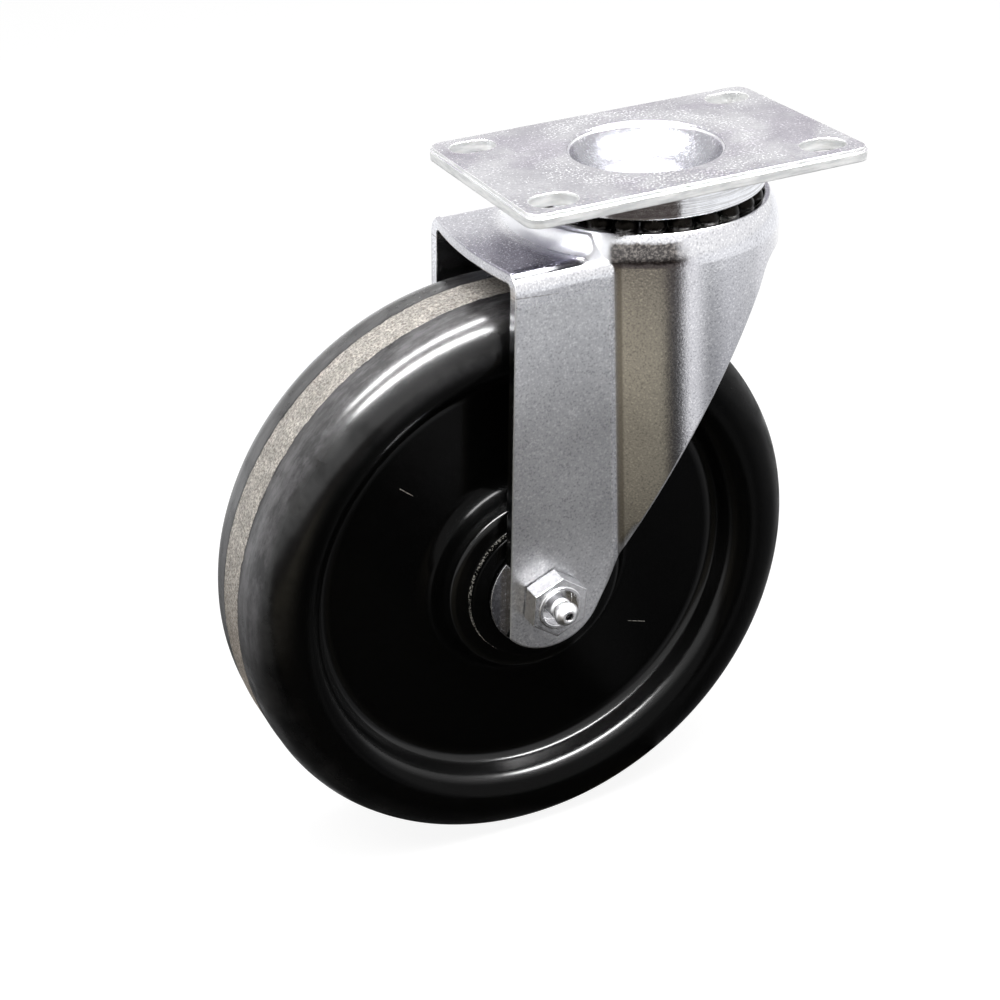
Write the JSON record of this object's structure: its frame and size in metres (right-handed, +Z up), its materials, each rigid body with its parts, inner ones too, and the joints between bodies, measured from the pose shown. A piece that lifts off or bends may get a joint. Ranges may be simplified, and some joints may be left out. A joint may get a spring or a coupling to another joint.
{
  "type": "swivel castor",
  "caption": "Swivel plate castor: zinc plated fork on a double ball race and a solid phenolic wheel on a roller bearing with a greaseable axle.",
  "frame": {"origin": "on the swivel axis at the mounting plate's top face", "axes": "+Z up out of the plate, +X forwards with the axle trailing towards -X, -Y the side with the grease fitting"},
  "size_m": [0.1641, 0.072, 0.1803],
  "materials": {
    "zinc_plate": "zinc plated",
    "zinc_bright": "bright zinc plated",
    "bearing_steel": "polished",
    "phenolic": "gloss",
    "cage_plastic": "matte",
    "nylon": "matte"
  },
  "bodies": {
    "plate": {"top_plate": "zinc_plate", "upper_race": "zinc_bright", "kingpin": "zinc_bright", "lower_race": "zinc_plate"},
    "fork": {"fork": "zinc_plate", "spanner_bushing": "bearing_steel", "thrust_washer_near": "zinc_bright", "thrust_washer_far": "zinc_bright", "axle_bolt": "zinc_bright", "lock_nut": "zinc_bright", "nut_insert": "nylon", "grease_fitting": "zinc_bright", "fitting_ball": "bearing_steel", "fitting_spring": "bearing_steel"},
    "wheel": {"wheel": "phenolic"},
    "load_ball_ring": {"load_balls": "bearing_steel"},
    "lower_ball_ring": {"lower_balls": "bearing_steel"},
    "roller_ring": {"roller_cage": "cage_plastic", "roller_1": "bearing_steel", "roller_2": "bearing_steel", "roller_3": "bearing_steel", "roller_4": "bearing_steel", "roller_5": "bearing_steel", "roller_6": "bearing_steel", "roller_7": "bearing_steel", "roller_8": "bearing_steel"}
  },
  "joints": [
    {"name": "swivel", "type": "hinge", "parent": "plate", "child": "fork", "pos_m": [0, 0, 0], "axis": [0, 0, 1], "continuous": true},
    {"name": "wheel_spin", "type": "hinge", "parent": "fork", "child": "wheel", "pos_m": [-0.0418, 0, -0.10414], "axis": [0, 1, 0], "continuous": true},
    {"name": "load_ball_orbit", "type": "hinge", "parent": "plate", "child": "load_ball_ring", "pos_m": [0, 0, 0], "axis": [0, 0, 1], "continuous": true},
    {"name": "lower_ball_orbit", "type": "hinge", "parent": "plate", "child": "lower_ball_ring", "pos_m": [0, 0, 0], "axis": [0, 0, 1], "continuous": true},
    {"name": "roller_orbit", "type": "hinge", "parent": "fork", "child": "roller_ring", "pos_m": [-0.0418, 0, -0.10414], "axis": [0, 1, 0], "continuous": true}
  ],
  "couplings": [
    {"joint": "load_ball_orbit", "follows": "swivel", "ratio": 0.5},
    {"joint": "lower_ball_orbit", "follows": "swivel", "ratio": 0.5},
    {"joint": "roller_orbit", "follows": "wheel_spin", "ratio": 0.63838}
  ]
}
